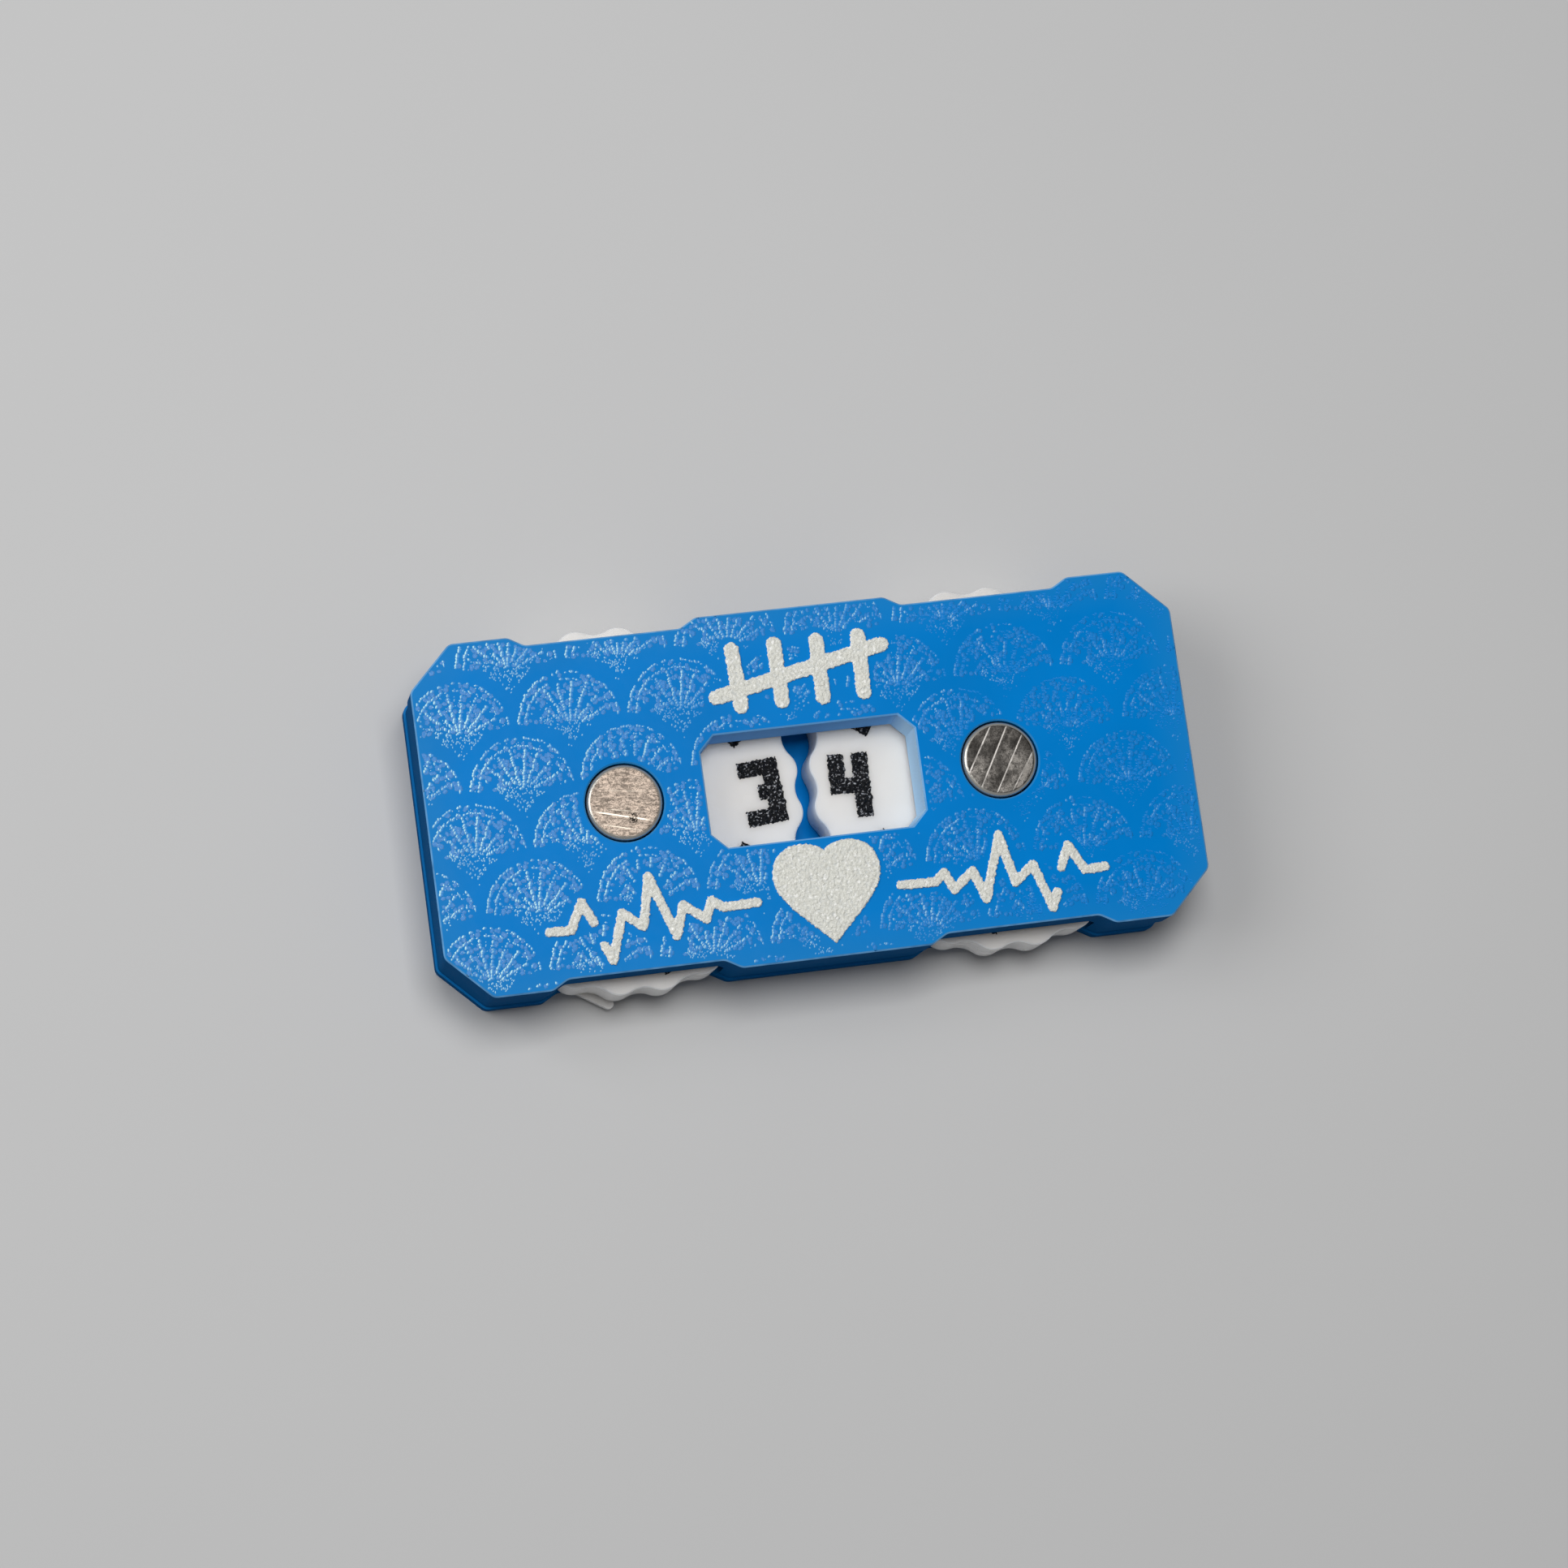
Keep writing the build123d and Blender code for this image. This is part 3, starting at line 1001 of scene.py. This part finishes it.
class BareFace:
    """Where the clear print may lie: off the edges, the window, the magnets and the white print."""

    edge_margin = 0.28
    window_margin = 0.35
    magnet_margin = 0.40
    print_margin = 0.40
    # What a margin across a slanting cut adds to x and y together, as a share of it
    slanting = 1.4
    # How far left and right the tally and the heart lie, and between which heights the lower prints lie
    tally_reach, heart_reach = 6.5, 4.5
    prints_low, trace_high, heart_high = -11.5, -4.0, -3.5

    def __init__(self, sizes):
        self.heart = heart_outline(10)
        half_trace, half_tally = sizes.trace_width / MM / 2, sizes.tally_width / MM / 2
        self.strokes = [(run, half_tally) for run in TALLY_LINES]
        for change in (list, mirrored):
            for points in (TRACE_LONG, TRACE_SHORT):
                self.strokes += [(run, half_trace) for run in pairs(change(points))]

    def allows(self, x, y):
        """Whether a grain may lie at x, y."""
        ax, ay = abs(x), abs(y)
        margin = self.edge_margin
        if ax > HALF_LENGTH - margin or ay > edge_height(x) - margin:
            return False
        if ax + ay > HALF_LENGTH + HALF_WIDTH - CORNER_CUT - self.slanting * margin:
            return False
        margin = self.window_margin
        corner_line = WINDOW_HALF_LENGTH + WINDOW_HALF_HEIGHT - WINDOW_CORNER_CUT + self.slanting * margin
        if ax < WINDOW_HALF_LENGTH + margin and ay < WINDOW_HALF_HEIGHT + margin and ax + ay < corner_line:
            return False
        if hypot(ax - AXLE_X, y) < MAGNET_HOLE_RADIUS + self.magnet_margin:
            return False
        margin = self.print_margin
        if ax < self.tally_reach or self.prints_low < y < self.trace_high:
            if any(distance_to_run(x, y, run) < half + margin for run, half in self.strokes):
                return False
        if ax < self.heart_reach and self.prints_low < y < self.heart_high:
            closed = pairs(self.heart + self.heart[:1])
            near = any(distance_to_run(x, y, run) <= margin for run in closed)
            return not near and not is_inside(x, y, self.heart)
        return True


# Fans, in degrees and millimetres, with swings in radians. Grains along a line: one in each step, with its
# strays, its place in the step, its length in steps and its width as a share.
GRAIN_STEP, GRAIN_STRAY, GRAIN_SWING = 0.18, 0.032, 0.25
STEP_PLACES, LINE_LENGTHS, LINE_WIDTHS = (0.2, 0.8), (1.2, 2.6), (0.75, 1.3)
# Where a line is unlit and what full light adds: how likely a grain is, and how wide
GRAIN_CHANCE, CHANCE_LIT = 0.60, 0.45
GRAIN_WIDTH, WIDTH_LIT = 0.7, 0.45
OUTER_WIDTH, INNER_WIDTH, RIB_WIDTH = 0.30, 0.27, 0.33
ARC_SWEEP, ARC_START, RIB_TURN = 200, -10, 21
# Where the ribs start, from a point below the fan's middle, how far short of the arc they end, their bow
RIB_FOOT, MIDDLE_RIB_FOOT, RIB_DROP, RIB_STOP, RIB_BOW = 0.75, 0.3, 0.35, 0.2, 0.06
# How far to the right the ribs lean that are strongest
STRONG_LEAN = 15
# The dotted foot: grains tried, their height as a share, how far below the middle they point to, their swing,
# lengths and widths, the foot's half width, lowest and highest place, and the half width and slope of its tip
FOOT_GRAINS, FOOT_RAISED, FOOT_AIM, FOOT_SWING = 210, 0.42, 2.2, 0.5
FOOT_LENGTHS, FOOT_WIDTHS = (0.12, 0.28), (0.11, 0.20)
FOOT_HALF, FOOT_LOW, FOOT_HIGH, FOOT_TIP, FOOT_SLOPE = 1.9, -1.95, 0.5, 0.25, 0.75
# Small grains and a flat film strewn over the fan: how many, longest, widest, and height as a share
STREWN = [(70, 0.20, 0.14, 0.30), (110, 0.56, 0.52, 0.2)]
# Their lengths and widths as shares of the greatest, and their turns in radians
STREWN_LENGTHS, STREWN_WIDTHS, STREWN_TURNS = (0.5, 1.0), (0.6, 1.0), (0, 3.14)
# A grain's half axes as shares of its length and width and of the ink's height, how far it is sunk, the range
# of its height, and the share of its length that keeps off the fans below
GRAIN_HALF, GRAIN_LIFT, GRAIN_SUNK, GRAIN_HEIGHTS, GRAIN_REACH = 0.62, 2.5, 0.6, (0.75, 1.1), 0.4


def fan_grains(sizes, chance):
    """The grains of one fan: place from its centre, turn, length, width, and height as a share."""
    outer, inner = sizes.outer_arc / MM, sizes.inner_arc / MM
    half_pitch, row, clear = sizes.pitch / MM / 2, sizes.row_height / MM, sizes.foot_arc / MM
    grains = []

    def along(place, run, width, lit):
        """Grains along a line, given as a function of 0 to 1 and its length; lit says where it is strong."""
        steps = int(run / GRAIN_STEP)
        for number in range(steps):
            share = (number + chance.uniform(*STEP_PLACES)) / steps
            x, y, turn = place(share)
            strength = lit(share)
            if chance.random() < GRAIN_CHANCE + CHANCE_LIT * strength:
                x, y = x + chance.gauss(0, GRAIN_STRAY), y + chance.gauss(0, GRAIN_STRAY)
                turn, long = turn + chance.gauss(0, GRAIN_SWING), GRAIN_STEP * chance.uniform(*LINE_LENGTHS)
                wide = width * (GRAIN_WIDTH + WIDTH_LIT * strength) * chance.uniform(*LINE_WIDTHS)
                grains.append((x, y, turn, long, wide, 1.0))

    def arc_angle(share):
        """The angle of a place on an arc, from its right end to its left end."""
        return radians(ARC_SWEEP * share + ARC_START)

    def on_arc(radius):
        """The place and turn along an arc."""
        return lambda share: (
            radius * cos(arc_angle(share)), radius * sin(arc_angle(share)), arc_angle(share) + radians(90)
        )

    for radius, width in ((outer, OUTER_WIDTH), (inner, INNER_WIDTH)):
        run = radians(ARC_SWEEP) * radius
        along(on_arc(radius), run, width, lambda share: max(0.0, -cos(arc_angle(share))))
    for number in range(sizes.ribs):
        from_middle = number - (sizes.ribs - 1) / 2
        lean = radians(RIB_TURN * from_middle)
        foot = RIB_FOOT if abs(from_middle) > 1 else MIDDLE_RIB_FOOT
        start = Vector((sin(lean) * foot, cos(lean) * foot - RIB_DROP))
        run = Vector((sin(lean) * (inner - RIB_STOP), cos(lean) * (inner - RIB_STOP))) - start
        bow = chance.uniform(-RIB_BOW, RIB_BOW)
        strength = max(0.0, cos(lean - radians(STRONG_LEAN)))

        def on_rib(share):
            """The place and turn along a rib."""
            x = start.x + run.x * share + bow * sin(radians(180) * share)
            return x, start.y + run.y * share, atan2(run.y, run.x)

        along(on_rib, run.length, RIB_WIDTH, lambda share: strength)
    for _ in range(FOOT_GRAINS):
        x, y = chance.uniform(-FOOT_HALF, FOOT_HALF), chance.uniform(FOOT_LOW, FOOT_HIGH)
        if abs(x) < FOOT_TIP + FOOT_SLOPE * (y - FOOT_LOW):
            turn = atan2(y + FOOT_AIM, x) + chance.gauss(0, FOOT_SWING)
            long, wide = chance.uniform(*FOOT_LENGTHS), chance.uniform(*FOOT_WIDTHS)
            grains.append((x, y, turn, long, wide, FOOT_RAISED))
    for how_many, longest, widest, high in STREWN:
        for _ in range(how_many):
            reach, swing = outer * chance.random() ** 0.5, radians(chance.uniform(-90, 90))
            turn = chance.uniform(*STREWN_TURNS)
            long, wide = longest * chance.uniform(*STREWN_LENGTHS), widest * chance.uniform(*STREWN_WIDTHS)
            grains.append((reach * sin(swing), reach * cos(swing), turn, long, wide, high))

    def is_clear(grain):
        """Whether a grain stays off the two fans of the row below."""
        x, y, _, long, *_ = grain
        return hypot(abs(x) - half_pitch, y + row) > clear + GRAIN_REACH * long

    return [grain for grain in grains if is_clear(grain)]


def fan_pattern(name, grain, sizes, chance):
    """One fan of raised grains, centred on the origin."""
    lift = GRAIN_LIFT * sizes.raised / MM
    copies = []
    for x, y, turn, long, wide, high in fan_grains(sizes, chance):
        half_axes = (GRAIN_HALF * long, GRAIN_HALF * wide, lift * high * chance.uniform(*GRAIN_HEIGHTS), 1)
        place = (
            Matrix.Translation((x, y, 0))
            @ Matrix.Rotation(turn, 4, "Z")
            @ Matrix.Diagonal(half_axes)
            @ Matrix.Translation((0, 0, -GRAIN_SUNK))
        )
        copies.append(copy_at(grain, place))
    made = join(copies, name)
    apply_place(made)
    return made


def drop_grains(thing, allows, points_each):
    """Deletes the whole grains whose middle isn't allowed."""
    places = np.empty(len(thing.data.vertices) * 3, np.float32)
    thing.data.vertices.foreach_get("co", places)
    middles = places.reshape(-1, points_each, 3).mean(1)
    drop = np.array([not allows(float(x), float(y)) for x, y, _ in middles])
    pick([thing])
    bpy.ops.object.mode_set(mode="EDIT")
    bpy.ops.mesh.select_mode(type="VERT")
    bpy.ops.mesh.select_all(action="DESELECT")
    bpy.ops.object.mode_set(mode="OBJECT")
    thing.data.vertices.foreach_set("select", np.repeat(drop, points_each))
    bpy.ops.object.mode_set(mode="EDIT")
    bpy.ops.mesh.delete(type="VERT")
    bpy.ops.object.mode_set(mode="OBJECT")


# The fans' layout: seed, patterns, rows and columns, first centre and how far past the end a fan still shows
FAN_SEED = 5
FAN_PATTERNS = 4
FAN_ROWS, FAN_COLUMNS = range(-4, 3), range(-4, 5)
FAN_ORIGIN = (-4.5, 1.7)
FAN_OVERHANG = 3.4


class COUNTER_OT_print_fans(bpy.types.Operator):
    """Prints the clear overlapping fans on the bare parts of the face"""

    bl_idname = "counter.print_fans"
    bl_label = "Print fans"

    def execute(self, context):
        scene = context.scene
        sizes, colours = scene.counter_fans, scene.counter_colours
        chance = random.Random(FAN_SEED)
        deselect_everything()
        bpy.ops.mesh.primitive_ico_sphere_add(subdivisions=1, radius=1)
        grain = bpy.context.active_object
        points_each = len(grain.data.vertices)
        patterns = [fan_pattern(f"fan_{n}", grain, sizes, chance) for n in range(FAN_PATTERNS)]
        fans = {"left_fans": [], "right_fans": []}
        for row in FAN_ROWS:
            for column in FAN_COLUMNS:
                x = sizes.pitch / MM * (column + row % 2 / 2) + FAN_ORIGIN[0]
                y = FAN_ORIGIN[1] + sizes.row_height / MM * row
                if abs(x) < HALF_LENGTH + FAN_OVERHANG:
                    pattern = patterns[(3 * row + column) % FAN_PATTERNS]
                    side = fans["left_fans" if x < 0 else "right_fans"]
                    side.append(copy_at(pattern, Matrix.Translation((x, y, FACE_HEIGHT))))
        bare = BareFace(scene.counter_print)
        clear = clear_ink(colours)
        for name, copies in fans.items():
            piece = join(copies, name)
            apply_place(piece)
            drop_grains(piece, bare.allows, points_each)
            to_metres(piece)
            pick([piece])
            bpy.ops.object.shade_smooth()
            dress([piece], clear)
            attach(piece, "case")
        for used in [grain, *patterns]:
            bpy.data.objects.remove(used)
        return {"FINISHED"}


# Finishes of the solids


class COUNTER_OT_finish_case(bpy.types.Operator):
    """Gives the plates and spacers their blue sheet"""

    bl_idname = "counter.finish_case"
    bl_label = "Finish case"

    def execute(self, context):
        sheet = case_sheet(context.scene.counter_colours)
        dress([node for name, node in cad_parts.items() if name.endswith(("plate", "spacer"))], sheet)
        return {"FINISHED"}


class COUNTER_OT_finish_wheels(bpy.types.Operator):
    """Gives the wheels and click springs their white sheet"""

    bl_idname = "counter.finish_wheels"
    bl_label = "Finish wheels"

    def execute(self, context):
        sheet = wheel_sheet(context.scene.counter_colours)
        dress([node for name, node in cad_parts.items() if name.endswith(("wheel", "spring"))], sheet)
        return {"FINISHED"}


class COUNTER_OT_finish_magnets(bpy.types.Operator):
    """Gives each stack of magnets its nickel: the left a painted bright, warm copy and the right a painted
    dark copy, for the light each reflects
    """

    bl_idname = "counter.finish_magnets"
    bl_label = "Finish magnets"

    def execute(self, context):
        colours = context.scene.counter_colours
        warm = nickel("nickel_lit", "left", colours.nickel_lit, **LEFT_WEAR)
        shaded_nickel = nickel("nickel_shaded", "right", colours.nickel_shaded, **RIGHT_WEAR_AND_SHEEN)
        for side, made in (("left", warm), ("right", shaded_nickel)):
            dress([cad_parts[f"{side}_{place}_magnet"] for place in ("front", "middle", "rear")], made)
        return {"FINISHED"}


# Floor, lights and camera

# Place and size of the square lights, in metres
KEY_PLACE, KEY_SIZE = (-0.005, 0.05, 0.33), 0.12
FILL_PLACE, FILL_SIZE = (-0.28, 0.10, 0.30), 0.25
# The floor's size, and how far it lies below the rear face
FLOOR_SIZE, FLOOR_DROP = 3, 0.00002


def soft_light(name, place, size, power):
    """A square light that faces the counter."""
    deselect_everything()
    turn = (-Vector(place)).to_track_quat("-Z", "Y").to_euler()
    bpy.ops.object.light_add(type="AREA", location=place, rotation=turn)
    lamp = bpy.context.active_object
    lamp.name = name
    lamp.data.shape = "SQUARE"
    lamp.data.size = size
    lamp.data.energy = power


class COUNTER_OT_set_stage(bpy.types.Operator):
    """Adds the plain floor, the soft lights and the camera"""

    bl_idname = "counter.set_stage"
    bl_label = "Set stage"

    def execute(self, context):
        scene, setup = context.scene, context.scene.counter_stage
        deselect_everything()
        bpy.ops.mesh.primitive_plane_add(size=FLOOR_SIZE, location=(0, 0, -FLOOR_DROP))
        floor = bpy.context.active_object
        floor.name = "floor"
        paper = Finish("floor_paper")
        paper.surface(
            Base_Color=paper.mix(paper.noise(35.0), shaded(setup.floor, 0.985), shaded(setup.floor, 1.01)),
            Roughness=0.9,
            Specular_IOR_Level=0.1,
        )
        dress([floor], paper.material)
        apply_place(floor)
        soft_light("key_light", KEY_PLACE, KEY_SIZE, setup.key_power)
        soft_light("fill_light", FILL_PLACE, FILL_SIZE, setup.fill_power)
        scene.world = scene.world or bpy.data.worlds.new("surroundings")
        scene.world.use_nodes = True
        sky = scene.world.node_tree.nodes["Background"]
        sky.inputs["Color"].default_value = (1.0, 1.0, 1.0, 1.0)
        sky.inputs["Strength"].default_value = setup.surroundings
        bpy.ops.object.camera_add(location=tuple(setup.camera_place), rotation=tuple(setup.camera_turn))
        scene.camera = bpy.context.active_object
        scene.camera.data.sensor_width = 36
        scene.camera.data.lens = setup.lens
        scene.camera.data.clip_start = 0.01
        scene.view_settings.view_transform = "Standard"
        return {"FINISHED"}


# The sidebar


class COUNTER_PT_sidebar(bpy.types.Panel):
    """Lists the steps and the sizes they read"""

    bl_idname = "COUNTER_PT_sidebar"
    bl_label = "Life counter"
    bl_space_type = "VIEW_3D"
    bl_region_type = "UI"
    bl_category = "Counter"

    def draw(self, context):
        scene = context.scene
        for step in STEPS:
            self.layout.operator(step.bl_idname)
        for group in SETTINGS:
            box = self.layout.box()
            for name in SETTINGS[group].__annotations__:
                box.prop(getattr(scene, group), name)


SETTINGS = {
    "counter_colours": CounterColours,
    "counter_digits": DigitSizes,
    "counter_print": PrintSizes,
    "counter_fans": FanSizes,
    "counter_stage": StageSetup,
}
STEPS = [
    COUNTER_OT_set_stage,
    COUNTER_OT_finish_case,
    COUNTER_OT_finish_wheels,
    COUNTER_OT_finish_magnets,
    COUNTER_OT_print_digits,
    COUNTER_OT_print_heart,
    COUNTER_OT_print_heartbeat,
    COUNTER_OT_print_tally,
    COUNTER_OT_print_fans,
]


def register():
    for made in [*SETTINGS.values(), *STEPS, COUNTER_PT_sidebar]:
        bpy.utils.register_class(made)
    for group, made in SETTINGS.items():
        setattr(bpy.types.Scene, group, PointerProperty(type=made))


def unregister():
    for group in SETTINGS:
        delattr(bpy.types.Scene, group)
    for made in reversed([*SETTINGS.values(), *STEPS, COUNTER_PT_sidebar]):
        bpy.utils.unregister_class(made)


def main():
    register()
    bpy.ops.counter.set_stage()
    bpy.ops.counter.finish_case()
    bpy.ops.counter.finish_wheels()
    bpy.ops.counter.finish_magnets()
    bpy.ops.counter.print_digits()
    bpy.ops.counter.print_heart()
    bpy.ops.counter.print_heartbeat()
    bpy.ops.counter.print_tally()
    bpy.ops.counter.print_fans()


if __name__ == "__main__":
    main()
